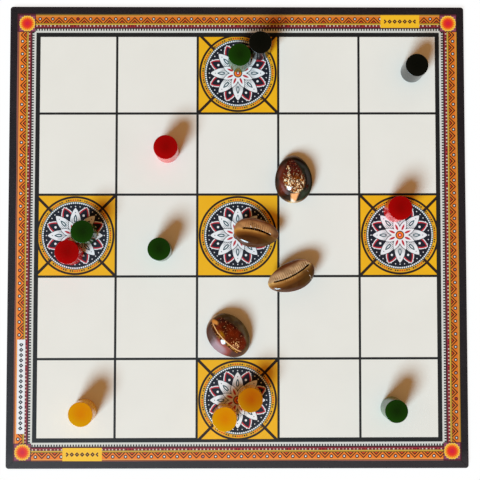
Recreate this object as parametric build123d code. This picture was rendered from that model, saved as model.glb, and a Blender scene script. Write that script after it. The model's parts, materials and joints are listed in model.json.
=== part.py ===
from build123d import *
import os
from math import acos, cos, pi, radians, sin

# A chowka bara board with twelve turned pawns and four cowrie shells lying on it.
# Millimetres, +Z up. The origin is the centre of the board's underside, on the table.
# +X points to the board's right edge and +Y to its far edge.

# Board: a stiff core wrapped in a thin cover, with a printed sheet glued on top
board_width = 303.8
board_depth = 306.6
board_corner_radius = 2.0
board_edge_radius = 0.5
core_thickness = 2.4
cover_thickness = 0.4
turn_in_width = 15.0
mitre_gap = 0.2
plain_border = 4.9
sheet_thickness = 0.3
sheet_corner_radius = 0.6

# Printed squares, which give every piece its place
squares_across = 5
pattern_width = 12.6

# Pawns: short turned pegs, each colour its own batch
pawn_height = 20.0
pawn_top_radius = 0.3
pawn_foot_radius = 0.3
pawn_diameters = {"black": 14.8, "green": 14.8, "red": 15.7, "yellow": 15.8}

# Cowrie shells. Swell moves the widest place towards the +X end. The mouth is an arc whose three
# points are given as shares of the half length and as distances towards the ribbed lip. The
# flank points give a cross-section, from its crown down, as shares of its half width and height.
shells = {
    "cowrie_1": dict(length=31.8, width=24.6, height=15.6, swell=0.12),
    "cowrie_2": dict(length=29.4, width=19.8, height=13.4, swell=0.15),
    "cowrie_3": dict(length=32.2, width=19.8, height=14.0, swell=-0.15),
    "cowrie_4": dict(length=32.0, width=25.0, height=15.4, swell=0.06),
}
mouths = {
    "cowrie_1": ((-0.7, -0.8), (0.0, 0.6), (0.7, -0.4)),
    "cowrie_2": ((-0.63, -0.7), (0.0, 1.5), (0.58, 1.2)),
    "cowrie_3": ((-0.84, 1.6), (-0.03, -0.9), (0.7, 0.4)),
    "cowrie_4": ((-0.7, -0.8), (0.0, 0.6), (0.7, -0.4)),
}
shell_wall = 1.5
shell_lip = 2.0
shell_end_lift = 2.6
shell_stations = 13
shell_first_angle = 4.5
dome_fullness = 1.2
end_lift_falloff = 1.4
mouth_width = 1.2
mouth_depth = 3.6
valley_share = 0.07
ridge_spread = 0.48
flank_points = ((0.55, 0.88), (0.88, 0.62), (1.0, 0.34), (0.86, 0.10))
tooth_pitch = 1.4
tooth_groove_radius = 0.4
rib_length = 1.15
smooth_rib_length = 0.6
shell_seat_gap = 0.05

# Heights and sides that follow
core_margin_top = core_thickness
cover_top = cover_thickness + core_thickness
play_height = cover_top + sheet_thickness
field_border = plain_border + pattern_width
square_width = (board_width - 2 * field_border) / squares_across
square_depth = (board_depth - 2 * field_border) / squares_across


def square_centre(column, row):
    """Centre of a printed square, counted from the near left corner."""
    middle = (squares_across - 1) / 2
    return Vector((column - middle) * square_width, (row - middle) * square_depth)


def slab(border, corner_radius, low, high):
    """Slab between two heights, a border smaller than the board all round."""
    outline = RectangleRounded(board_width - 2 * border, board_depth - 2 * border, corner_radius)
    return extrude(Plane.XY.offset(low) * outline, high - low)


def make_core():
    """Stiff board, its margin pressed down by the cover that is turned in over it."""
    radius = board_corner_radius - cover_thickness
    base = slab(cover_thickness, radius, cover_thickness, core_margin_top)
    bare = Rectangle(board_width - 2 * turn_in_width, board_depth - 2 * turn_in_width)
    return base + extrude(Plane.XY.offset(core_margin_top) * bare, cover_top - core_margin_top)


def make_cover(core):
    """Cover under the core, round its edges and turned in on top, mitred at the corners."""
    block = slab(0, board_corner_radius, 0, cover_top)
    rims = block.edges().group_by(Axis.Z)
    cover = fillet(rims[0] + rims[-1], board_edge_radius) - core
    start = turn_in_width + mitre_gap
    seam_length = (start - board_corner_radius) * 2**0.5
    inset = (start + board_corner_radius) / 2
    seam_x, seam_y = board_width / 2 - inset, board_depth / 2 - inset
    for x_side, y_side in ((1, 1), (-1, 1), (-1, -1), (1, -1)):
        turn = 45 * x_side * y_side
        place = Location((x_side * seam_x, y_side * seam_y, core_margin_top), (0, 0, turn))
        seam = Box(seam_length, mitre_gap, cover_thickness, align=(Align.CENTER, Align.CENTER, Align.MIN))
        cover -= place * seam
    return cover


def make_sheet():
    """Printed sheet, glued over the turned-in cover and the bare core."""
    return slab(plain_border, sheet_corner_radius, cover_top, play_height)


def make_pawn(diameter):
    """Turned peg with eased edges, standing on the origin."""
    peg = Cylinder(diameter / 2, pawn_height, align=(Align.CENTER, Align.CENTER, Align.MIN))
    rims = peg.edges().filter_by(GeomType.CIRCLE).sort_by(Axis.Z)
    peg = fillet(rims[-1], pawn_top_radius)
    rims = peg.edges().filter_by(GeomType.CIRCLE).sort_by(Axis.Z)
    return fillet(rims[0], pawn_foot_radius)


def shell_station(angle, width, height, swell):
    """Half width, height and base height of a shell at an angle round its length."""
    skewed = angle - swell * sin(angle)
    half = width / 2 * sin(skewed)
    tall = height * sin(skewed) ** dome_fullness
    low = shell_end_lift * (1 - sin(angle)) ** end_lift_falloff
    return half, tall, low


def shell_section(angle, length, width, height, swell):
    """One cross-section of a shell: a high dome over a flattened base with a valley along it."""
    half, tall, low = shell_station(angle, width, height, swell)
    right = [(half * across, low + tall * up) for across, up in (*flank_points, (ridge_spread, 0))]
    left = [(-across, up) for across, up in reversed(right)]
    points = [(0, low + tall)] + right + [(0, low + valley_share * tall)] + left
    x = -length / 2 * cos(angle)
    ring = Spline(*[(x, across, up) for across, up in points], periodic=True)
    return Face(Wire([ring]))


def shell_body(length, width, height, swell):
    """Egg-shaped body of a shell, long along X, base down."""
    first = radians(shell_first_angle)
    step = (pi - 2 * first) / (shell_stations - 1)
    angles = [first + step * station for station in range(shell_stations)]
    return loft([shell_section(angle, length, width, height, swell) for angle in angles])


def make_shell(mouth_points, length, width, height, swell):
    """Hollow cowrie, dome up, with a toothed mouth along its base."""
    hollow_height = height - shell_wall - shell_lip
    hollow = shell_body(length - 2 * shell_wall, width - 2 * shell_wall, hollow_height, swell)
    shell = shell_body(length, width, height, swell) - Pos(0, 0, shell_lip) * hollow

    points = [(share * length / 2, lean) for share, lean in mouth_points]
    line = ThreePointArc(*points)
    mouth = extrude(SlotArc(line, mouth_width), shell_lip + mouth_depth)
    shell -= Pos(0, 0, -shell_lip) * mouth

    first, last = points[0][0], points[-1][0]
    teeth = int((last - first - 2 * mouth_width) / tooth_pitch) + 1
    for tooth in range(teeth):
        x = first + mouth_width + tooth * tooth_pitch
        lean = (line @ ((x - first) / (last - first))).Y
        half, tall, low = shell_station(acos(-2 * x / length), width, height, swell)
        for side, share in ((1, rib_length), (-1, smooth_rib_length)):
            start = Vector(x, lean + side * mouth_width / 4, low + valley_share * tall)
            out = mouth_width / 2 + share * ridge_spread * half
            end = Vector(x, lean + side * out, low - tooth_groove_radius)
            run = end - start
            groove = Cylinder(
                tooth_groove_radius, run.length, align=(Align.CENTER, Align.CENTER, Align.MIN)
            )
            shell -= Plane(origin=start, z_dir=run) * groove
    return shell


def seat(piece, height):
    """Lift or lower a piece so that its lowest point is at a height."""
    return Pos(0, 0, height - piece.bounding_box().min.Z) * piece


def beside(place, first, second, gap, direction):
    """Place of a pawn that stands a gap away from another, in a direction from it."""
    apart = (pawn_diameters[first] + pawn_diameters[second]) / 2 + gap
    return place + Vector(apart, 0).rotate(Axis.Z, direction)


# Where each pawn stands: a square, and how far it is from that square's centre
black_1 = square_centre(4, 4) + Vector(9.1, 0.9)
green_1 = square_centre(2, 4) + Vector(1.3, 7.5)
black_2 = beside(green_1, "green", "black", 1.0, 31.0)
red_1 = square_centre(1, 3) + Vector(7.2, 1.5)
green_2 = square_centre(0, 2) + Vector(7.5, 1.1)
red_2 = beside(green_2, "green", "red", 1.0, 233.6)
green_3 = square_centre(1, 2) + Vector(3.2, -10.1)
red_3 = square_centre(4, 2) + Vector(-2.6, 16.4)
yellow_1 = square_centre(0, 0) + Vector(7.3, -6.9)
yellow_2 = square_centre(2, 0) + Vector(8.2, 2.1)
yellow_3 = beside(yellow_2, "yellow", "yellow", 4.8, 216.4)
green_4 = square_centre(4, 0) + Vector(-6.1, -5.2)
pawn_places = {
    "black": (black_1, black_2),
    "green": (green_1, green_2, green_3, green_4),
    "red": (red_1, red_2, red_3),
    "yellow": (yellow_1, yellow_2, yellow_3),
}

# How each shell lies: the place of its middle, the heading of its +X end, and its roll
shell_lies = {
    "cowrie_1": (square_centre(3, 3) + Vector(-16.8, -17.5), -89.0, 0.0),
    "cowrie_2": (square_centre(2, 2) + Vector(12.0, 0.3), 171.0, 193.0),
    "cowrie_3": (square_centre(3, 1) + Vector(-18.4, 25.8), 205.0, 200.0),
    "cowrie_4": (square_centre(2, 1) + Vector(-5.9, -12.0), 135.0, 0.0),
}

core_solid = make_core()
nodes = {
    "board_core": core_solid,
    "board_cover": make_cover(core_solid),
    "printed_sheet": make_sheet(),
}
for colour, places in pawn_places.items():
    for number, place in enumerate(places, 1):
        pawn = make_pawn(pawn_diameters[colour])
        nodes[f"pawn_{colour}_{number}"] = Pos(place.X, place.Y, play_height) * pawn
for name, (place, heading, roll) in shell_lies.items():
    centred = Pos(0, 0, -shells[name]["height"] / 2) * make_shell(mouths[name], **shells[name])
    turned = Rot(0, 0, heading) * Rot(roll, 0, 0) * centred
    nodes[name] = Pos(place.X, place.Y, 0) * seat(turned, play_height + shell_seat_gap)

os.makedirs("parts", exist_ok=True)
for name, piece in nodes.items():
    solids = piece.solids()
    body = solids[0] if len(solids) == 1 else piece
    print(name, len(solids), "solid,", round(body.volume, 1), "mm3")
    export_step(body, f"parts/{name}.step")
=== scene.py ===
import json
from math import cos, pi, radians, sin

import bpy
from mathutils import Matrix, Vector

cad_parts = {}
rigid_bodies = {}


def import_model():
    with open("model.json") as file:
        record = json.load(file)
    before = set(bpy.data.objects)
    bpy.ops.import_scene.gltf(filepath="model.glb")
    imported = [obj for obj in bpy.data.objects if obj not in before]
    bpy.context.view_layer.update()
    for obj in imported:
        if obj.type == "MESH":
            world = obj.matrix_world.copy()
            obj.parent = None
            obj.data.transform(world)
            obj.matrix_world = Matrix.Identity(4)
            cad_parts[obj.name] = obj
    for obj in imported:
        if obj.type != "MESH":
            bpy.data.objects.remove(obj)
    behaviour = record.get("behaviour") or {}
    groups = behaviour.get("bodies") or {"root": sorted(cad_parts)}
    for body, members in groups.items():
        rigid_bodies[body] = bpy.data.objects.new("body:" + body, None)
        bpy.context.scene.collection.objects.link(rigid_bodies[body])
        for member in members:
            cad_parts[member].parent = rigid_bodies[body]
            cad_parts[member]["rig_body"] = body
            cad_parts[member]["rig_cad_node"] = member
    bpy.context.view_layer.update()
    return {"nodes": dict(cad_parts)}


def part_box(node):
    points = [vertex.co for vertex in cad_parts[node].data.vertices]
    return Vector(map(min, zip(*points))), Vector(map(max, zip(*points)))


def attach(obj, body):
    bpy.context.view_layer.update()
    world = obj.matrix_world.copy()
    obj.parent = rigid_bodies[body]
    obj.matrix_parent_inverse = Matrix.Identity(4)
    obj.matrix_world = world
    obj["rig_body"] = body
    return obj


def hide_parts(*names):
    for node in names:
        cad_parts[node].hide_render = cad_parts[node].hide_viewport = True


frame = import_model()
bpy.ops.object.select_all(action="DESELECT")

# Sizes are in millimetres, as the maker of the board would give them, and turned into metres where
# a piece is made. Lengths of the board and of its pieces are read from the frame.
mm = 0.001
sheet_low, sheet_high = (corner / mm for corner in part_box("printed_sheet"))
cover_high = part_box("board_cover")[1] / mm
sheet_thickness = sheet_high.z - sheet_low.z
play_height = sheet_high.z

# The print was drawn for a square board, and sits stretched, leaning and a little off the middle.
# Its bands are given as distances in from the drawing's edge, and the squares are inside them.
board_half = 152.5
print_shift = Vector((0.22, -0.18))
print_scale = Vector((0.9976, 1.0063))
print_lean = 0.0014
rim_line_end = 5.6
brown_line_end = 6.15
gold_line_end = 6.8
zigzag_start = 7.05
zigzag_end = 10.95
olive_line_end = 11.5
yellow_line_end = 12.2
bead_band_start = 12.4
bead_row_end = 13.5
rose_band_end = 14.0
teeth_start = 14.95
teeth_end = 16.2
frame_start = 17.45
squares_start = 17.7
frame_end = 20.35
near_frame_shift = 0.9
print_half = board_half - squares_start
squares_across = 5
square_pitch = 2 * print_half / squares_across
grid_line_width = 1.55
zigzag_pitch = 8.45
zigzag_shift = 1.7
zigzag_heart = 1.8
chevron_pitch = 1.9
chevron_start = 3.6
chevron_end = 4.4
chevron_half_width = 0.47
eye_rise = 2.7
eye_radius = 0.55
eye_rim_radius = 1.2
teeth_pitch = 1.8
tooth_half_width = 0.46
bead_pitch = 2.4
bead_half_width = 0.42
bead_depth = 0.9
bead_gap_middle = 0.75
bead_gap_half_width = 0.3
corner_square_middle = 11.25
corner_square_half = 5.75
corner_inner = board_half - corner_square_middle - corner_square_half
corner_outline_width = 0.55
scallop_count = 18
scallop_depth = 0.8
soft_edge = 0.14

# Medallions of the five castle squares
ring_radius = 25.3
ring_line_width = 1.4
bead_ring_radius = 23.4
bead_ring_count = 96
dot_ring_radius = 21.5
dot_ring_count = 96
disc_radius = 20.9
diagonal_half_width = 1.3
crossing_depth = 1.2
bead_radius = 0.55
white_ring_edge = 22.45
white_dot_radius = 0.52
rim_dot_ring = 19.2
rim_dot_radius = 0.36

# Petals of the medallions: how far from the middle they start and end, and their half width
petal_count = 8
petal_belly = 0.6
petal_taper = 0.85
leaf_shape = (8.0, 20.3, 4.3)
large_edge_shape = (3.5, 18.9, 3.9)
large_shape = (4.0, 18.3, 3.5)
large_heart_shape = (8.6, 14.0, 1.25)
small_edge_shape = (1.4, 10.9, 2.5)
small_shape = (1.8, 10.4, 2.1)
small_heart_shape = (3.4, 8.0, 0.8)
leaf_outline = 0.75
leaf_band_end = 1.7
heart_outline = 0.85
berry_ring = 14.2
berry_radius = 0.75
tip_dot_ring = 15.2
tip_dot_radius = 0.32
hatch_pitch = 0.9
hatch_half_width = 0.13
hatch_end = 11.5

# Pawns: radians of turning line for each millimetre, and how deep the top's finish reaches
turning_rate = 9
thin_rim_depth = 0.25

# How each shell lies: its middle, the heading of its +X end, its roll, its height, and three
# points of its mouth, along it and towards the ribbed lip
shell_lies = {
    "cowrie_1": dict(
        place=(36.96, 36.82), heading=-89.0, roll=0.0, height=15.6,
        mouth=((-11.1, -0.8), (0.0, 0.6), (11.1, -0.4)),
    ),
    "cowrie_2": dict(
        place=(12.0, 0.3), heading=171.0, roll=193.0, height=13.4,
        mouth=((-9.26, -0.7), (0.0, 1.5), (8.53, 1.2)),
    ),
    "cowrie_3": dict(
        place=(35.36, -28.52), heading=205.0, roll=200.0, height=14.0,
        mouth=((-13.5, 1.6), (-0.5, -0.9), (11.3, 0.4)),
    ),
    "cowrie_4": dict(
        place=(-5.9, -66.32), heading=135.0, roll=0.0, height=15.4,
        mouth=((-11.2, -0.8), (0.0, 0.6), (11.2, -0.4)),
    ),
}
rib_pitch = 1.4
first_rib = 1.2
rib_half_width = 0.34
shell_mesh_size = 0.3
shell_polish_rounds = 6

# Light: a wide key from the near left, nearly as high as it is far, and a dim warm room all
# round. Gloss mirrors a pale wall behind the key, a lilac window beside it and a dark ceiling.
key_toward = Vector((0.545, 0.838))
key_elevation = 42.5
key_width = 24.0
fill = (0.41, 0.21, 0.08)
window_side = Vector((-0.74, -0.67))
white = (1.0, 1.0, 1.0, 1.0)
room_grey = (0.08, 0.08, 0.075, 1.0)
ceiling_black = (0.012, 0.011, 0.01, 1.0)
window_lilac = (2.4, 2.2, 2.5, 1.0)
floor_own_white = 0.85
floor_width = 6  # metres

# Camera: almost straight above the board, a little nearer its near edge
camera_place = Vector((-3.65, -36.79, 664.95))
camera_look = Vector((0.00805, 0.05054, -0.99869))
camera_rise = Vector((0.00013, 0.99872, 0.05054))
camera_lens = 75
camera_film = 36


def ink(red, green, blue):
    """A colour given as it looks on screen, 0 to 255, as linear light."""
    shares = (value / 255 for value in (red, green, blue))
    return (*(s / 12.92 if s <= 0.04045 else ((s + 0.055) / 1.055) ** 2.4 for s in shares), 1.0)


cream = ink(234, 232, 224)
castle_yellow = ink(234, 170, 0)
castle_gold = ink(246, 186, 6)
print_black = ink(24, 21, 21)
line_brown = ink(58, 16, 2)
dark_brown = ink(40, 18, 8)
dark_maroon = ink(66, 14, 24)
rose_maroon = ink(142, 34, 56)
rose = ink(150, 90, 80)
tan = ink(120, 96, 50)
pale_orange = ink(236, 156, 76)
gold = ink(214, 146, 20)
olive = ink(146, 112, 6)
pale_yellow = ink(218, 176, 66)
orange = ink(244, 126, 26)
deep_orange = ink(222, 70, 12)
petal_white = ink(236, 238, 240)
navy = ink(14, 18, 34)
teal = ink(20, 74, 84)
crimson = ink(190, 28, 50)
band_white = ink(214, 215, 209)
bead_white = ink(226, 206, 190)
bead_red = ink(206, 62, 10)
rim_brown = ink(150, 72, 20)
eye_rim_brown = ink(40, 8, 8)
paper_cream = ink(214, 206, 190)
paper_shade = ink(120, 104, 84)

# Three plain labels in the border: their left, right, near and far ends, ground and mark, and
# the row of lozenges along each
labels = (
    (95.8, 121.9, 138.3, 146.8, ink(248, 190, 30), dark_maroon),
    (-115.0, -89.1, -147.0, -138.5, ink(250, 196, 44), dark_maroon),
    (-145.4, -140.1, -129.3, -68.1, petal_white, ink(40, 40, 52)),
)
lozenge_pitch = 3.4
lozenge_reach = 1.5
lozenge_hole = 0.4
lozenge_margin = 2.4

# Middle of the medallions: radius and ink of each disc
centre_discs = ((2.9, navy), (2.3, orange), (1.3, crimson), (0.5, petal_white))

# Corner flowers: radius and ink of each layer, on a mottled purple square
corner_layers = (
    (4.8, ink(250, 208, 76)),
    (4.1, ink(248, 158, 26)),
    (3.2, ink(240, 84, 14)),
    (2.3, ink(232, 34, 24)),
    (0.9, ink(216, 10, 50)),
)
corner_purple = ink(132, 52, 84)
corner_mauve = ink(160, 78, 110)
corner_outline = ink(84, 26, 40)

# Cover and core
cloth_black = ink(22, 8, 8)
cloth_dark = ink(32, 17, 18)
cloth_pale = ink(54, 42, 43)
# Paler grey for a painted sheen along the cover's near side
cloth_sheen = ink(84, 76, 78)
cloth_rub = ink(84, 76, 74)
board_grey = ink(150, 138, 122)
board_pale = ink(196, 186, 168)
board_stain = ink(36, 30, 32)

# Pawn lacquers: the heart of the top, its rim, and down the side. The rim ink also paints light on
# the top towards the key, and the brighter side ink is painted light. One yellow pawn is darker.
pawn_lacquers = {
    "black": (ink(9, 9, 4), ink(15, 14, 8), ink(22, 20, 14)),
    "green": (ink(15, 33, 3), ink(23, 62, 6), ink(24, 84, 10)),
    "red": (ink(128, 0, 0), ink(170, 1, 4), ink(236, 24, 16)),
    "yellow": (ink(214, 118, 0), ink(216, 156, 0), ink(246, 176, 30)),
    "yellow_2": (ink(174, 70, 0), ink(188, 126, 2), ink(246, 176, 30)),
}

# Shells: the speckled back, the lined back, and the tan base
# Margin inks towards the key and on the shaded side: painted light and shade
plum_key_side_margin = ink(66, 46, 36)
olive_shaded_margin = ink(48, 60, 44)
dark_cloud = ink(36, 26, 18)
# Painted light on the speckled shell's margin towards the key
rust_key_light = ink(104, 36, 14)
wine_ground = ink(96, 30, 20)
amber_ground = ink(136, 68, 12)
ground_shade = ink(54, 16, 8)
gold_speck = ink(226, 150, 62)
pale_speck = ink(255, 240, 200)
blotch_peach = ink(244, 168, 108)
# Painted highlight at the blotch's end
blotch_highlight = ink(255, 240, 220)
# Margin inks of the lined shell towards the key and on the shaded side: painted light and shade
mauve_key_side_margin = ink(84, 56, 48)
moss_shaded_margin = ink(112, 102, 70)
brown_cloud = ink(52, 36, 22)
# Painted light on the lined shell's margin towards the key
rose_key_light = ink(150, 66, 54)
# Painted reflection on the lined shell's flank towards the key
lilac_reflection = ink(160, 142, 150)
red_ground = ink(110, 34, 8)
deep_ground = ink(60, 22, 8)
gold_patch = ink(160, 106, 10)
dull_speck = ink(196, 112, 70)
bright_speck = ink(250, 196, 130)
fleck_dark = ink(66, 28, 6)
fleck_gold = ink(220, 156, 66)
line_amber = ink(166, 88, 20)
line_pale = ink(255, 222, 160)
blotch_orange = ink(240, 160, 74)
lip_inks = (ink(210, 170, 126), ink(230, 184, 110))
brown_lip_inks = (ink(190, 136, 86), ink(214, 158, 80))
ribbed_lip_shade = ink(112, 60, 30)
rib_shade = ink(112, 70, 38)
smooth_lip_shade = ink(150, 96, 40)
smooth_lip_edge = ink(74, 40, 16)
lip_cloud = ink(92, 60, 30)
lip_olive = ink(84, 60, 26)
lip_end_shade = ink(88, 62, 44)
scratch_white = ink(236, 222, 200)


class Signal:
    """A number or vector that varies over a surface, used in ordinary arithmetic."""

    def __init__(self, finish, socket):
        self.finish = finish
        self.socket = socket

    def __add__(self, other):
        return self.finish.math("ADD", self, other)

    __radd__ = __add__

    def __sub__(self, other):
        return self.finish.math("SUBTRACT", self, other)

    def __rsub__(self, other):
        return self.finish.math("SUBTRACT", other, self)

    def __mul__(self, other):
        return self.finish.math("MULTIPLY", self, other)

    __rmul__ = __mul__

    def __truediv__(self, other):
        return self.finish.math("DIVIDE", self, other)

    def __pow__(self, other):
        return self.finish.math("POWER", self, other)

    def __abs__(self):
        return self.finish.math("ABSOLUTE", self)

    def over(self, edge, soft=soft_edge):
        """1 where the value is over an edge and 0 where it is under, with a soft step."""
        return self.finish.math("MULTIPLY_ADD", self, 1 / soft, 0.5 - edge / soft, clamp=True)

    def under(self, edge, soft=soft_edge):
        """1 where the value is under an edge and 0 where it is over, with a soft step."""
        return self.finish.math("MULTIPLY_ADD", self, -1 / soft, 0.5 + edge / soft, clamp=True)

    def within(self, low, high, soft=soft_edge):
        """1 between two edges and 0 outside them."""
        return self.over(low, soft) * self.under(high, soft)

    def fold(self, pitch):
        """Distance to the nearest multiple of a pitch."""
        return self.finish.math("PINGPONG", self, pitch / 2)

    def wrap(self, pitch):
        """The value counted from the nearest multiple of a pitch, with its sign."""
        return self.finish.math("WRAP", self, pitch / 2, -pitch / 2)


class Finish:
    """The nodes of one material, or of the world."""

    def __init__(self, name, world=False):
        self.owner = (bpy.data.worlds if world else bpy.data.materials).new(name)
        self.owner.use_nodes = True
        self.tree = self.owner.node_tree
        self.tree.nodes.clear()

    def node(self, kind, settings, sockets, output=0):
        """A node with its settings and its sockets' values or links. Returns one of its outputs."""
        node = self.tree.nodes.new(kind)
        for setting, value in settings.items():
            setattr(node, setting, value)
        for socket, value in sockets.items():
            if isinstance(value, Signal):
                self.tree.links.new(value.socket, node.inputs[socket])
            else:
                node.inputs[socket].default_value = value
        return Signal(self, node.outputs[output]) if node.outputs else None

    def math(self, operation, *values, clamp=False):
        """One step of arithmetic on numbers and values."""
        settings = {"operation": operation, "use_clamp": clamp}
        return self.node("ShaderNodeMath", settings, dict(enumerate(values)))

    def mix(self, below, above, share):
        """One colour laid over another."""
        settings = {"data_type": "RGBA", "clamp_factor": True}
        return self.node("ShaderNodeMix", settings, {0: share, 6: below, 7: above}, 2)

    def place(self, middle=(0, 0, 0), turn=(0, 0, 0), stretch=(1, 1)):
        """Where a point lies, in millimetres, seen from a middle and turned with a piece."""
        point = self.node("ShaderNodeTexCoord", {}, {}, "Object")
        sockets = {
            "Vector": point,
            "Location": [c * mm for c in middle],
            "Rotation": turn,
            "Scale": (stretch[0] * mm, stretch[1] * mm, mm),
        }
        return self.node("ShaderNodeMapping", {"vector_type": "TEXTURE"}, sockets)

    def split(self, point):
        """The three coordinates of a point."""
        return [self.node("ShaderNodeSeparateXYZ", {}, {0: point}, axis) for axis in range(3)]

    def join(self, x, y, z=0.0):
        """A point from its coordinates."""
        return self.node("ShaderNodeCombineXYZ", {}, {0: x, 1: y, 2: z})

    def noise(self, point, size, detail, rough=0.5):
        """Cloudy noise from 0 to 1, whose features have about this size in millimetres."""
        sockets = {"Vector": point, "Scale": 1 / size, "Detail": detail, "Roughness": rough}
        return self.node("ShaderNodeTexNoise", {}, sockets)

    def cells(self, point, size, feature="F1"):
        """How far a point is from the middle of its cell, in cells of about this size."""
        sockets = {"Vector": point, "Scale": 1 / size, "Randomness": 1.0}
        return self.node("ShaderNodeTexVoronoi", {"feature": feature}, sockets, "Distance")

    def longest(self, x, y):
        """The longer of two distances."""
        return self.math("MAXIMUM", abs(x), abs(y))

    def length(self, x, y):
        """How long a run is, from its two coordinates."""
        return self.math("SQRT", x * x + y * y)

    def bump(self, height, depth):
        """A normal from a height of 0 to 1 that stands for this depth in millimetres."""
        sockets = {"Height": height, "Distance": depth * mm, "Strength": 1.0}
        return self.node("ShaderNodeBump", {}, sockets)

    def surface(self, **sockets):
        """Ends the material in a Principled surface and returns the material."""
        named = {name.replace("_", " "): value for name, value in sockets.items()}
        shader = self.node("ShaderNodeBsdfPrincipled", {}, named)
        self.node("ShaderNodeOutputMaterial", {}, {"Surface": shader})
        return self.owner


def print_coordinates(finish):
    """Millimetres from the middle of the print, which isn't quite square on the board."""
    x, y, _ = finish.split(finish.place((*print_shift, 0), stretch=print_scale))
    return x - y * print_lean, y - x * print_lean


def printed(finish, colour):
    """Ends a print material: the ink under a thin satin laminate, and bare paper at the cut."""
    point = finish.place()
    cloud = finish.noise(point, 34, 3)
    grain = finish.noise(point, 0.9, 2)
    shaded = finish.mix(colour, paper_shade, 0.05 * cloud.over(0.5, 0.5))
    height = finish.split(point)[2]
    ink_depth = 0.12
    return finish.surface(
        Base_Color=finish.mix(shaded, paper_cream, height.under(play_height - ink_depth, 0.05)),
        Roughness=0.42 + 0.08 * grain,
        Normal=finish.bump(grain + 2 * finish.noise(point, 9, 1), 0.006),
        Specular_IOR_Level=0.5,
    )


def field_print():
    """Cream squares between dark lines, inside a wide dark frame."""
    finish = Finish("print_field")
    x, y = print_coordinates(finish)
    from_line = finish.math(
        "MINIMUM",
        (x - square_pitch / 2).fold(square_pitch),
        (y - square_pitch / 2).fold(square_pitch),
    )
    line = from_line.under(grid_line_width / 2)
    edge = finish.longest(x, y).over(board_half - frame_end)
    colour = finish.mix(cream, print_black, finish.math("MAXIMUM", line, edge))
    return printed(finish, colour)


def petal(finish, radius, angle, shape, offset=0.0):
    """How far inside one of a ring of pointed petals a point is, in millimetres."""
    start, tip, half_width = shape
    reach = tip - start
    sector = (angle + offset).fold(2 * pi / petal_count)
    along = radius * finish.math("COSINE", sector)
    across = radius * finish.math("SINE", sector)
    share = finish.math("MULTIPLY_ADD", along, 1 / reach, -start / reach, clamp=True)
    widest = petal_belly / (petal_belly + petal_taper)
    scale = half_width / (widest**petal_belly * (1 - widest) ** petal_taper)
    return scale * share**petal_belly * (1 - share) ** petal_taper - across


def dots(finish, radius, angle, ring, count, size, offset=0.0):
    """1 on the round dots of a ring."""
    across = finish.math("SINE", (angle + offset).fold(2 * pi / count)) * radius
    return finish.length(across, radius - ring).under(size)


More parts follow.
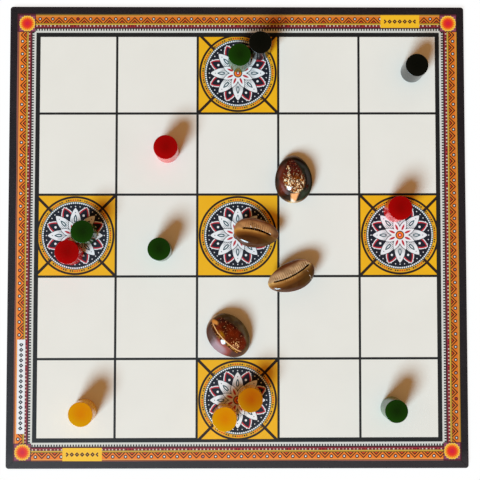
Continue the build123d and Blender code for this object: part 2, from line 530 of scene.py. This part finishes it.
def castle_print():
    """Yellow square with a round flower of pointed petals inside two beaded rings."""
    finish = Finish("print_castle")
    x, y = print_coordinates(finish)
    reach = abs(x) + abs(y)

    # The wide frame is narrower beside the near castle square
    outward = finish.math("MAXIMUM", abs(x), y)
    outward = finish.math("MAXIMUM", outward, -near_frame_shift - y)
    x, y = x.wrap(2 * square_pitch), y.wrap(2 * square_pitch)
    radius = finish.length(x, y)
    angle = finish.math("ARCTAN2", y, x)
    half_step = pi / petal_count
    cloud = finish.noise(finish.join(x, y), 16, 2)
    colour = finish.mix(castle_yellow, castle_gold, cloud)
    cross = (abs(x) - abs(y)).within(-diagonal_half_width, diagonal_half_width)
    cross *= reach.over(square_pitch)
    colour = finish.mix(colour, dark_brown, cross)
    ring_edge = abs(radius - ring_radius).under(ring_line_width / 2)
    colour = finish.mix(colour, dark_brown, ring_edge)

    # Beads on the yellow ring, dark and red by turns
    beaded = radius.under(ring_radius - ring_line_width / 2)
    colour = finish.mix(colour, finish.mix(gold, castle_gold, cloud), beaded)
    crossing = beaded * radius.over(bead_ring_radius - crossing_depth) * cross
    colour = finish.mix(colour, line_brown, crossing)
    bead = dots(finish, radius, angle, bead_ring_radius, bead_ring_count, bead_radius)
    turns = finish.math("SINE", angle * (1.5 * petal_count) + 2 * cloud)
    bead_ink = finish.mix(print_black, bead_red, turns.over(0.45, 0.3))
    colour = finish.mix(colour, bead_ink, bead * turns.over(-0.9, 0.2))

    # Ring of white dots between dark lines
    colour = finish.mix(colour, teal, radius.under(white_ring_edge))
    dot = dots(finish, radius, angle, dot_ring_radius, dot_ring_count, white_dot_radius)
    colour = finish.mix(colour, petal_white, dot)
    colour = finish.mix(colour, navy, radius.under(disc_radius))

    # Small dots near the rim, then leaves, large petals and small petals over each other
    speck = dots(finish, radius, angle, rim_dot_ring, 5 * petal_count, rim_dot_radius)
    colour = finish.mix(colour, petal_white, speck)

    def lay(colour, shape, over, edge=0.1):
        """Lays an ink over a petal, this far in from its outline."""
        return finish.mix(colour, over, shape.over(edge))

    leaf = petal(finish, radius, angle, leaf_shape, half_step)
    colour = lay(colour, leaf, petal_white)
    colour = lay(colour, leaf, crimson, leaf_outline)
    colour = lay(colour, leaf, navy, leaf_band_end)
    berry = dots(finish, radius, angle, berry_ring, petal_count, berry_radius, half_step)
    colour = finish.mix(colour, petal_white, berry)

    large = petal(finish, radius, angle, large_shape)
    colour = lay(colour, petal(finish, radius, angle, large_edge_shape), navy)
    colour = lay(colour, large, petal_white)
    hatch = finish.math("SINE", angle.fold(2 * half_step)) * radius
    lines = hatch.fold(hatch_pitch).under(hatch_half_width)
    lines *= radius.under(hatch_end, 2) * large.over(0.5)
    colour = finish.mix(colour, navy, lines)
    heart = petal(finish, radius, angle, large_heart_shape)
    colour = lay(colour, heart, teal)
    colour = lay(colour, heart, petal_white, heart_outline)
    tip_dot = dots(finish, radius, angle, tip_dot_ring, petal_count, tip_dot_radius)
    colour = finish.mix(colour, navy, tip_dot)

    colour = lay(colour, petal(finish, radius, angle, small_edge_shape, half_step), navy)
    colour = lay(colour, petal(finish, radius, angle, small_shape, half_step), petal_white)
    colour = lay(colour, petal(finish, radius, angle, small_heart_shape, half_step), crimson)

    for size, over in centre_discs:
        colour = finish.mix(colour, over, radius.under(size))

    # The lines of the grid and the wide frame run along the square's edges
    from_line = square_pitch / 2 - finish.longest(x, y)
    colour = finish.mix(colour, print_black, from_line.under(grid_line_width / 2))
    colour = finish.mix(colour, print_black, outward.over(board_half - frame_end))
    return printed(finish, colour)


def zigzag(finish, along, inward):
    """Nested chevrons that point outwards, with an eye between each two."""
    rise = zigzag_end - inward
    aside = along.fold(zigzag_pitch)
    chevron = rise + aside
    colour = finish.mix(orange, deep_orange, chevron.under(zigzag_heart, 0.8))
    lines = (chevron - chevron_start).fold(chevron_pitch).under(chevron_half_width, 0.12)
    colour = finish.mix(colour, line_brown, lines * chevron.under(chevron_end))
    away = finish.length(zigzag_pitch / 2 - aside, rise - eye_rise)
    colour = finish.mix(colour, eye_rim_brown, away.under(eye_rim_radius))
    pale_eyes = finish.noise(finish.join(along, inward), 9, 1).over(0.4, 0.1)
    eye = finish.mix(crimson, petal_white, pale_eyes)
    return finish.mix(colour, eye, away.under(eye_radius))


def border_print():
    """Bands that run round the squares, in other inks on the far and right sides, and darkened
    there with painted shade.
    """
    finish = Finish("print_border")
    x, y = print_coordinates(finish)
    crosswise = (abs(y) - abs(x)).over(0, 0.01)
    along = finish.math("MULTIPLY_ADD", x - y, crosswise, y) + zigzag_shift
    inward = board_half - finish.longest(x, y)
    far_side = (x + y).over(0, 1)

    colour = finish.mix(rose, tan, far_side)
    rim_line = finish.mix(rim_brown, gold, far_side)
    colour = finish.mix(colour, rim_line, inward.over(rim_line_end))
    colour = finish.mix(colour, pale_orange, inward.over(brown_line_end))
    colour = finish.mix(colour, orange, inward.over(gold_line_end))
    colour = finish.mix(colour, zigzag(finish, along, inward), inward.over(zigzag_start))
    # Painted shade: the bands darken a little on the far and right sides, away from the key
    colour = finish.mix(colour, line_brown, far_side * 0.2)
    colour = finish.mix(colour, olive, inward.over(zigzag_end))
    colour = finish.mix(colour, pale_yellow, inward.over(olive_line_end))
    colour = finish.mix(colour, dark_brown, inward.over(yellow_line_end))

    # Crimson band with dark gaps, and white beads along its outer side, not quite even
    sway = finish.noise(finish.join(along, crosswise), 5.5, 1)
    spot = (along + sway * 2).fold(bead_pitch)
    gap = abs(spot - bead_gap_middle).under(bead_gap_half_width, 0.15)
    beads = finish.mix(crimson, dark_maroon, gap)
    bead = spot.under(bead_half_width) * inward.under(bead_band_start + bead_depth)
    beads = finish.mix(beads, bead_white, bead * sway.over(0.42, 0.1))
    colour = finish.mix(colour, beads, inward.over(bead_band_start))
    colour = finish.mix(colour, rose_maroon, inward.over(bead_row_end))
    colour = finish.mix(colour, dark_maroon, inward.over(rose_band_end))
    colour = finish.mix(colour, band_white, inward.over(teeth_start))
    tooth = along.fold(teeth_pitch).under(tooth_half_width, 0.1)
    colour = finish.mix(colour, print_black, tooth * inward.within(teeth_start, teeth_end))
    colour = finish.mix(colour, print_black, inward.over(frame_start))

    for left, right, near, far, ground, mark in labels:
        lies_flat = right - left > far - near
        across, length = (y, x) if lies_flat else (x, y)
        middle = (near + far) / 2 if lies_flat else (left + right) / 2
        start, end = (left, right) if lies_flat else (near, far)
        lozenge = abs(across - middle) + length.fold(lozenge_pitch)
        marks = lozenge.within(lozenge_hole, lozenge_reach)
        marks *= length.within(start + lozenge_margin, end - lozenge_margin)
        label = x.within(left, right) * y.within(near, far)
        colour = finish.mix(colour, finish.mix(ground, mark, marks), label)
    return printed(finish, colour)


def corner_print():
    """A scalloped flower on a purple square in each corner."""
    finish = Finish("print_corner")
    x, y = print_coordinates(finish)
    from_corner = board_half - corner_square_middle
    x, y = abs(x) - from_corner, abs(y) - from_corner
    angle = finish.math("ARCTAN2", y, x)
    scallop = abs(finish.math("SINE", angle * (scallop_count / 2))) * scallop_depth
    petals = finish.length(x, y) - scallop
    colour = finish.mix(corner_purple, corner_mauve, finish.noise(finish.join(x, y), 1.5, 2))
    for size, shade in corner_layers:
        colour = finish.mix(colour, shade, petals.under(size))
    outline = finish.longest(x, y).over(corner_square_half - corner_outline_width)
    return printed(finish, finish.mix(colour, corner_outline, outline))


def past_board_edge(finish, x, y):
    """How far a point is past the board's edge: negative on the board."""
    return finish.math("MAXIMUM", abs(x) - cover_high.x, abs(y) - cover_high.y)


def book_cloth():
    """Black grained cloth, paler along the near side with a painted sheen, and rubbed at the
    board's edges.
    """
    finish = Finish("book_cloth")
    point = finish.place()
    x, y, z = finish.split(point)
    pebble = finish.cells(point, 0.55, "SMOOTH_F1")
    thread = finish.noise(finish.join(x * 0.4, y * 2.5, z), 0.8, 2)
    cloud = finish.noise(point, 22, 3)
    colour = finish.mix(cloth_black, cloth_dark, cloud)
    colour = finish.mix(colour, cloth_pale, pebble.over(0.55, 0.4) * 0.35)
    # Painted sheen: the cloth is paler along the near side, towards the key lamp
    sheen_width = 8
    near_sheen = y.under(sheen_width - cover_high.y, sheen_width)
    colour = finish.mix(colour, cloth_sheen, near_sheen * 0.2)
    edge = past_board_edge(finish, x, y).over(-0.5, 0.5)
    rub = finish.noise(point, 3.5, 3).over(0.52, 0.25)
    colour = finish.mix(colour, cloth_rub, edge * rub * 0.3)
    return finish.surface(
        Base_Color=colour,
        Roughness=0.46 + 0.08 * cloud,
        Normal=finish.bump(pebble + thread * 0.6, 0.04),
        Specular_IOR_Level=0.5,
    )


def grey_board():
    """Pressed grey board, stained dark round its margin by the glue that holds the cover."""
    finish = Finish("grey_board")
    point = finish.place()
    x, y, _ = finish.split(point)
    fleck = finish.noise(point, 0.7, 4, 0.7)
    colour = finish.mix(board_grey, board_pale, fleck)
    stain_width = 16
    stain = past_board_edge(finish, x, y).over(-stain_width, 1)
    colour = finish.mix(colour, board_stain, stain)
    return finish.surface(Base_Color=colour, Roughness=0.9, Normal=finish.bump(fleck, 0.08))


def lacquer(name, low, high, heart, rim, side):
    """Gloss lacquer on a turned peg, with turning lines, lighter towards the rim of the top.
    Painted light makes the top lighter towards the key and the side brighter.
    """
    finish = Finish(name)
    middle = (low + high) / 2
    point = finish.place((middle.x, middle.y, 0))
    x, y, z = finish.split(point)
    radius = finish.length(x, y)
    half = (high.x - low.x) / 2
    cloud = finish.noise(point, 5, 2)
    # Painted light: the top lightens on its side towards the key lamp
    away = x * (key_toward.x / half) + y * (key_toward.y / half)
    near = (away + cloud - 0.5).under(-0.1, 1.6)
    outer = radius.over(0.6 * half, 0.9 * half)
    colour = finish.mix(heart, rim, near * 0.5 + outer * 0.6)
    grain = finish.noise(finish.join(x * 3, y * 3, z * 0.25), 1.4, 3)
    colour = finish.mix(colour, rim, grain.over(0.66, 0.2) * 0.2)
    # Painted light: down the side the lacquer is brighter than on the top
    below = z.under(high.z - thin_rim_depth, 0.3)
    colour = finish.mix(colour, finish.mix(side, rim, grain.over(0.6, 0.3) * 0.5), below)
    rings = finish.math("SINE", radius * turning_rate) * 0.5 + 0.5
    wear = finish.noise(point, 1.1, 3)
    return finish.surface(
        Base_Color=colour,
        Roughness=0.14 + 0.12 * wear.over(0.5, 0.4),
        Normal=finish.bump(rings * 0.25 + wear, 0.012),
        Specular_IOR_Level=0.4,
    )


def pick(piece):
    """Selects one piece alone."""
    bpy.ops.object.select_all(action="DESELECT")
    piece.select_set(True)
    bpy.context.view_layer.objects.active = piece


def paint_node(node, material):
    """Gives a node that keeps its shape its finish."""
    for slot in frame["nodes"][node].material_slots:
        slot.material = material


def apply_modifiers(piece):
    """Applies a piece's modifiers in their order."""
    bpy.context.view_layer.objects.active = piece
    for modifier in list(piece.modifiers):
        bpy.ops.object.modifier_apply(modifier=modifier.name)


def finish_piece(piece, name, body, slot, *nodes):
    """Names a piece, puts its place in its mesh and ties it to the frame."""
    piece.name = name
    piece.data.name = name
    pick(piece)
    bpy.ops.object.transform_apply(location=True, rotation=True, scale=True)
    bpy.ops.object.select_all(action="DESELECT")
    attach(piece, body)
    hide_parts(*nodes)


def cut_at(offset, axis):
    """Cuts the whole sheet along a line across one axis, both sides of the middle."""
    normal = Vector((1, -print_lean, 0) if axis == 0 else (-print_lean, 1, 0))
    for side in (-1, 1):
        bpy.ops.mesh.select_all(action="SELECT")
        line = print_shift[axis] + side * offset * print_scale[axis]
        place = Vector((line, 0, 0) if axis == 0 else (0, line, 0))
        bpy.ops.mesh.bisect(plane_co=place * mm, plane_no=normal)


def make_sheet():
    """The printed sheet: cut into its bands and squares, with a slightly uneven trimmed edge."""
    bpy.ops.mesh.primitive_plane_add(size=2 * mm, location=(0, 0, play_height * mm))
    sheet = bpy.context.object
    bpy.ops.object.mode_set(mode="EDIT")
    bpy.ops.mesh.select_all(action="SELECT")
    bpy.ops.transform.resize(value=(sheet_high.x, sheet_high.y, 1))
    for axis in (0, 1):
        for offset in (square_pitch / 2, square_pitch * 1.5, print_half, corner_inner):
            cut_at(offset, axis)
    bpy.ops.object.mode_set(mode="OBJECT")
    paint_sheet(sheet)
    trim_sheet(sheet)
    thickness = sheet.modifiers.new("thickness", "SOLIDIFY")
    thickness.thickness = sheet_thickness * mm
    thickness.offset = -1
    apply_modifiers(sheet)
    lay_out_sheet(sheet)
    finish_piece(sheet, "sheet_print", "board", "printed_sheet", "printed_sheet")


def paint_sheet(sheet):
    """Gives each square, band and corner of the sheet its print."""
    for material in (field_print(), castle_print(), border_print(), corner_print()):
        sheet.data.materials.append(material)
    field, castle, border, corner = range(4)
    for face in sheet.data.polygons:
        x, y = ((face.center[axis] / mm - print_shift[axis]) / print_scale[axis] for axis in (0, 1))
        column, row = (abs(round(c / square_pitch)) for c in (x, y))
        if min(abs(x), abs(y)) > corner_inner:
            face.material_index = corner
        elif max(abs(x), abs(y)) > print_half:
            face.material_index = border
        elif (column, row) in ((0, 0), (2, 0), (0, 2)):
            face.material_index = castle
        else:
            face.material_index = field


def trim_sheet(sheet):
    """Makes the cut edge waver inwards by up to a third of a millimetre, in two long waves."""
    waver = 0.08 * mm
    inward_share = 1.6
    short_wave, long_wave = 13, 31
    bpy.ops.object.mode_set(mode="EDIT")
    bpy.ops.mesh.select_all(action="SELECT")
    bpy.ops.mesh.region_to_loop()
    bpy.ops.mesh.subdivide(number_cuts=3)
    bpy.ops.object.mode_set(mode="OBJECT")
    for vertex in sheet.data.vertices:
        for axis in (0, 1):
            reach = sheet_high[axis] * mm
            at, along = vertex.co[axis], vertex.co[1 - axis] / mm
            if abs(abs(at) - reach) < 0.01 * mm and abs(along) < corner_inner:
                side = at / reach
                pull = sin(along / short_wave + 2 * side) + sin(along / long_wave - side)
                vertex.co[axis] -= (inward_share + pull) * waver * side


def lay_out_sheet(sheet):
    """A map on which the printed top takes nearly all the room, and the cut edge a thin strip."""
    mesh = sheet.data
    layer = mesh.uv_layers.new(name="OFBake")
    top_share = 0.97
    underside_share = 0.015
    edge_start = 0.018
    edge_share = 0.008
    for face in mesh.polygons:
        for corner in face.loop_indices:
            place = mesh.vertices[mesh.loops[corner].vertex_index].co / mm
            across = 0.5 + place.x / (2 * sheet_high.x)
            along = 0.5 + place.y / (2 * sheet_high.y)
            if face.normal.z > 0.5:
                layer.uv[corner].vector = (across, 1 - top_share * (1 - along))
            elif face.normal.z < -0.5:
                layer.uv[corner].vector = (across, underside_share * along)
            else:
                depth = (play_height - place.z) / sheet_thickness
                run = along if abs(face.normal.x) > 0.5 else across
                layer.uv[corner].vector = (run, edge_start + edge_share * depth)
    mesh.uv_layers.active = layer


def colour_pawns():
    """Each pawn keeps its node and gets a lacquer centred on it."""
    for node in frame["nodes"]:
        if not node.startswith("pawn_"):
            continue
        title = node.removeprefix("pawn_")
        low, high = (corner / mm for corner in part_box(node))
        shades = pawn_lacquers.get(title) or pawn_lacquers[title.split("_")[0]]
        paint_node(node, lacquer("lacquer_" + title, low, high, *shades))


# The painters of the shells take a point as x along the shell to its +X end, y across it and up
# as a share of half its height. Wander and fine are wide and narrow noise, which unsettle edges.


def speckles(finish, point, crowding):
    """Round specks, few and small, larger and closer together where they crowd."""
    large = finish.cells(point, 1.7) - crowding * 0.3
    small = finish.cells(point, 0.9) - crowding * 0.3
    return finish.math("MAXIMUM", large.under(0.12, 0.12), small.under(0.14, 0.12))


def speckled_back(finish, point, x, y, up, fine, wander):
    """Gold specks low on a dark red-brown field, a pale blotch at the end with a painted highlight,
    and margins tinted by painted light: plum and rust towards the key, olive on the shaded side.
    """
    cloud = finish.noise(point, 7, 2)
    # Painted light and shade: the margin is plum towards the key and olive on the shaded side
    colour = finish.mix(plum_key_side_margin, olive_shaded_margin, y.over(1, 8))
    colour = finish.mix(colour, dark_cloud, cloud.over(0.45, 0.25))
    # Painted light: a rust glow on the margin towards the key
    key_side_light = y.under(-5, 3) * abs(y).under(9.6, 2) * abs(x - 1).under(9, 4)
    colour = finish.mix(colour, rust_key_light, key_side_light * 0.85)

    # The field is a drop that is widest near its gold end
    field_end, field_length, field_width = 9.9, 24.8, 18.0
    share = finish.math("MULTIPLY_ADD", x, -1 / field_length, field_end / field_length, clamp=True)
    spread = share**0.5 * (1 - share) * field_width
    inside = spread - abs(y + 0.3 - 0.12 * x) + wander * 1.6
    gold_part = x.over(-0.5, 6)
    ground = finish.mix(wine_ground, amber_ground, gold_part)
    ground = finish.mix(ground, ground_shade, fine.over(0.5, 0.15) * 0.8)
    chain = abs(y + 3.6 + wander * 3).under(0.9, 1) * x.within(-8, 1, 1)
    crowding = finish.math("MAXIMUM", gold_part * (0.75 + wander), chain)
    speck_ink = finish.mix(gold_speck, pale_speck, fine.over(0.46, 0.2))
    ground = finish.mix(ground, speck_ink, speckles(finish, point, crowding))
    colour = finish.mix(colour, ground, inside.over(0.2, 1.4) * up.over(0.05, 0.2))

    blotch_start, blotch_half_width = 10.0, 3.1
    # Painted highlight: the blotch turns white at its end towards the key
    blotch = finish.mix(blotch_peach, blotch_highlight, (x - y * 0.6).over(14.6, 1.2))
    past = x - blotch_start + wander * 2
    sides = blotch_half_width - past * 0.25 - abs(y + 0.2 * past - 0.4)
    inside = finish.math("MINIMUM", sides, past)
    return finish.mix(colour, blotch, inside.over(0.4, 1.1) * up.over(-0.6, 0.3))


def lined_back(finish, point, x, y, up, fine, wander):
    """A pale line where the two lobes of the animal met, along a sparsely speckled field, with
    margins tinted by painted light: a rose glow and a lilac reflection towards the key, moss on the
    shaded side.
    """
    cloud = finish.noise(point, 7, 2)
    # Painted light and shade: the margin is mauve towards the key and moss on the shaded side, with
    # darker clouds there
    colour = finish.mix(mauve_key_side_margin, moss_shaded_margin, y.under(-2, 8))
    colour = finish.mix(colour, brown_cloud, cloud.over(0.5, 0.25) * y.under(0, 5) * 0.7)
    # Painted light: a rose glow on the margin towards the key
    key_side_light = y.over(3.5, 2) * (x + y * 0.3).within(-6, 6, 3)
    colour = finish.mix(colour, rose_key_light, key_side_light * 0.8)
    # Painted reflection: a lilac bloom where the flank faces the key
    painted_reflection = y.over(7.6, 2.4) * (x - 0.2).within(-6, 4.5, 4)
    colour = finish.mix(colour, lilac_reflection, painted_reflection * 0.7)

    # The line bows towards +Y, and the field lies along its other side
    line_reach, line_bow, field_half_width = 14.2, 3.5, 5.8
    share = x / line_reach
    bow = finish.math("SQRT", finish.math("MAXIMUM", 1 - share * share, 0.0))
    off_line = y - bow * line_bow + wander * 0.5
    inside = bow * field_half_width - abs(y + 2.2) + wander * 1.6
    ground = finish.mix(red_ground, deep_ground, cloud.over(0.5, 0.25))
    patch = finish.length(x * 0.5 - 2.2, y - 2.2) + wander * 2
    ground = finish.mix(ground, gold_patch, patch.under(0.9, 1.6) * fine.over(0.38, 0.3))
    cluster = (finish.length(x + 7.2, y - 0.6) + wander * 5).under(3.0, 3)
    bright = finish.math("MAXIMUM", cluster, cloud.over(0.58, 0.1))
    specks = speckles(finish, point, cluster * 0.65 + (cloud - 0.5) * 0.8)
    ground = finish.mix(ground, finish.mix(dull_speck, bright_speck, bright), specks)
    field = inside.over(0.2, 1.4) * off_line.under(0) * up.over(0.05, 0.2)
    colour = finish.mix(colour, ground, field)

    # Flecks along the line's other side, the line itself, and an orange blotch at its end
    on_top = up.over(0.1, 0.2)
    beside = off_line.within(0, 1.9, 0.7) * x.over(-12, 2)
    flecks = finish.mix(fleck_dark, fleck_gold, finish.cells(point, 0.9).under(0.3, 0.15))
    colour = finish.mix(colour, flecks, beside * on_top)
    colour = finish.mix(colour, line_amber, abs(off_line).under(0.5, 0.5) * on_top)
    colour = finish.mix(colour, line_pale, abs(off_line).under(0.15, 0.2) * on_top)
    blotch = finish.length(x * 0.7 - 8.9, y + 0.3) + wander * 3
    return finish.mix(colour, blotch_orange, blotch.under(1.5, 1.1) * up.over(-0.6, 0.3))


def shell_base(finish, name, point, mouth, wander):
    """Tan lips: fine ribs on one side of the mouth, and a smooth roll on the other."""
    x, y, _ = finish.split(point)

    # How far a point is from the mouth's curve, towards the ribbed lip
    (first, first_out), (middle, middle_out), (last, last_out) = mouth
    rise = (middle_out - first_out) / (middle - first)
    curve = ((last_out - first_out) / (last - first) - rise) / (last - middle)
    out = y - first_out - (x - first) * (rise + (x - middle) * curve)

    ribbed_ink, smooth_ink = brown_lip_inks if name == "cowrie_2" else lip_inks
    ribbed_lip = finish.mix(ribbed_ink, ribbed_lip_shade, out.over(5.4, 4))
    rib = (x - first - first_rib).fold(rib_pitch).under(rib_half_width, 0.3)
    rib *= out.under(3.8, 3) * x.within(first, last, 1)
    ribbed_lip = finish.mix(ribbed_lip, rib_shade, rib * 0.55)
    smooth_lip = finish.mix(smooth_ink, smooth_lip_shade, out.under(-1.9, 2.2))
    smooth_lip = finish.mix(smooth_lip, smooth_lip_edge, out.under(-4.2, 2.8))
    colour = finish.mix(smooth_lip, ribbed_lip, out.over(0, 0.3))
    colour = finish.mix(colour, lip_cloud, 0.4 * wander.over(0.05, 0.2))
    colour = finish.mix(colour, lip_olive, out.under(-0.8, 1.5) * x.under(-5, 6) * 0.6)
    colour = finish.mix(colour, lip_end_shade, x.under(first - 1, 4) * 0.7)
    if name == "cowrie_3":
        scratch = abs(x + 10.8 + wander * 5).under(0.1, 0.14) * y.within(-8.2, -1.6, 0.6)
        breaks = finish.noise(point, 1.6, 2).over(0.46, 0.1)
        colour = finish.mix(colour, scratch_white, scratch * breaks)
    return colour


def shell_enamel(name, middle, heading, roll, height, mouth):
    """Polished cowrie: a dark back and a tan base, glossy apart from its sides."""
    finish = Finish(name + "_enamel")
    point = finish.place(middle, (radians(roll), 0, radians(heading)))
    x, y, up = finish.split(point)
    up /= height / 2
    wander = finish.noise(point, 4.5, 2) - 0.5
    fine = finish.noise(point, 1.2, 2)
    paint_back = lined_back if name == "cowrie_4" else speckled_back
    back = paint_back(finish, point, x, y, up, fine, wander)
    base = shell_base(finish, name, point, mouth, wander)
    on_base = (up + wander * 0.25).under(-0.3, 0.5)
    return finish.surface(
        Base_Color=finish.mix(back, base, on_base),
        Roughness=0.3 - 0.1 * fine,
        Normal=finish.bump(finish.noise(point, 2.5, 2) + fine * 0.4, 0.06),
        Specular_IOR_Level=0.0,
        Coat_Weight=abs(up).over(0.35, 0.5),
        Coat_Roughness=0.12,
    )


def make_cowrie(node, place, heading, roll, height, mouth):
    """A polished shell from a merged copy of its node, its grooves and rims melted smooth."""
    source = frame["nodes"][node]
    shell = source.copy()
    shell.data = source.data.copy()
    shell.parent = None
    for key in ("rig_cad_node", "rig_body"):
        if key in shell:
            del shell[key]
    bpy.context.scene.collection.objects.link(shell)
    pick(shell)
    bpy.ops.object.mode_set(mode="EDIT")
    bpy.ops.mesh.select_all(action="SELECT")
    bpy.ops.mesh.remove_doubles(threshold=0.001 * mm)
    bpy.ops.object.mode_set(mode="OBJECT")
    remesh = shell.modifiers.new("even mesh", "REMESH")
    remesh.mode = "VOXEL"
    remesh.voxel_size = shell_mesh_size * mm
    soften = shell.modifiers.new("polish", "SMOOTH")
    soften.factor = 0.5
    soften.iterations = shell_polish_rounds
    apply_modifiers(shell)
    bpy.ops.object.shade_smooth()
    low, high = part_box(node)
    middle = (*place, (low.z + high.z) / 2 / mm)
    shell.data.materials.clear()
    shell.data.materials.append(shell_enamel(node, middle, heading, roll, height, mouth))
    body = node.replace("cowrie", "shell")
    slot = "cowrie_back" if roll == 0 else "cowrie_base"
    finish_piece(shell, node + "_shell", body, slot, node)


def make_floor():
    """A plain pale floor that keeps a trace of the shadows. It shows paler than it lights."""
    bpy.ops.mesh.primitive_plane_add(size=floor_width, location=(0, 0, 0))
    floor = bpy.context.object
    floor.name = "floor"
    finish = Finish("floor_paint")
    seen = finish.node("ShaderNodeLightPath", {}, {}, "Is Camera Ray")
    cloud = finish.noise(finish.place(), 60, 2)
    shade = finish.mix(ink(226, 224, 220), ink(230, 228, 225), cloud)
    lit = 1 - floor_own_white
    own = (floor_own_white, floor_own_white, floor_own_white, 1.0)
    material = finish.surface(
        Base_Color=finish.mix(shade, (lit, lit, lit, 1.0), seen),
        Roughness=1.0,
        Specular_IOR_Level=0.0,
        Emission_Color=finish.mix((0.0, 0.0, 0.0, 1.0), own, seen),
        Emission_Strength=1.0,
    )
    floor.data.materials.append(material)


def light_scene():
    """The key lamp, and a world: white to the camera, a studio to gloss, and else a warm fill."""
    key = bpy.data.lights.new("key", "SUN")
    share = [1 - part for part in fill]
    brightest = max(share)
    key.color = [part / brightest for part in share]
    key.energy = pi * brightest / sin(radians(key_elevation))
    key.angle = radians(key_width)
    lamp = bpy.data.objects.new("key", key)
    bpy.context.scene.collection.objects.link(lamp)
    run = key_toward.normalized() * cos(radians(key_elevation))
    toward = Vector((run.x, run.y, -sin(radians(key_elevation))))
    lamp.rotation_mode = "QUATERNION"
    lamp.rotation_quaternion = toward.to_track_quat("-Z", "Y")

    world = Finish("studio", world=True)
    direction = world.node("ShaderNodeTexCoord", {}, {}, "Generated")
    path = world.tree.nodes.new("ShaderNodeLightPath")
    camera_ray = seen = Signal(world, path.outputs["Is Camera Ray"])
    for ray in ("Is Glossy Ray", "Is Transmission Ray"):
        seen = world.math("MAXIMUM", seen, Signal(world, path.outputs[ray]))
    x, y, up = world.split(direction)
    key_side = x * -key_toward.x + y * -key_toward.y
    window = (x * window_side.x + y * window_side.y).over(0.86, 0.12) * up.under(0.36, 0.2)
    backdrop = world.mix(room_grey, white, key_side.over(0.62, 0.5))
    backdrop = world.mix(backdrop, ceiling_black, up.over(0.42, 0.4))
    backdrop = world.mix(backdrop, window_lilac, window)
    backdrop = world.mix(backdrop, white, camera_ray)
    colour = world.mix((*fill, 1.0), backdrop, seen)
    background = world.node("ShaderNodeBackground", {}, {"Color": colour, "Strength": 1.0})
    world.node("ShaderNodeOutputWorld", {}, {"Surface": background})
    bpy.context.scene.world = world.owner


def place_camera():
    """Hangs the camera at its place and turns it along its look."""
    data = bpy.data.cameras.new("camera")
    data.lens = camera_lens
    data.sensor_width = camera_film
    data.clip_start = 0.01
    camera = bpy.data.objects.new("camera", data)
    bpy.context.scene.collection.objects.link(camera)
    look = camera_look.normalized()
    right = look.cross(camera_rise).normalized()
    turn = Matrix((right, right.cross(look), -look)).transposed().to_4x4()
    camera.matrix_world = Matrix.Translation(camera_place * mm) @ turn
    bpy.context.scene.camera = camera


make_sheet()
paint_node("board_cover", book_cloth())
paint_node("board_core", grey_board())
colour_pawns()
for node, lie in shell_lies.items():
    make_cowrie(node, **lie)
make_floor()
light_scene()
place_camera()
bpy.context.scene.view_settings.view_transform = "Standard"
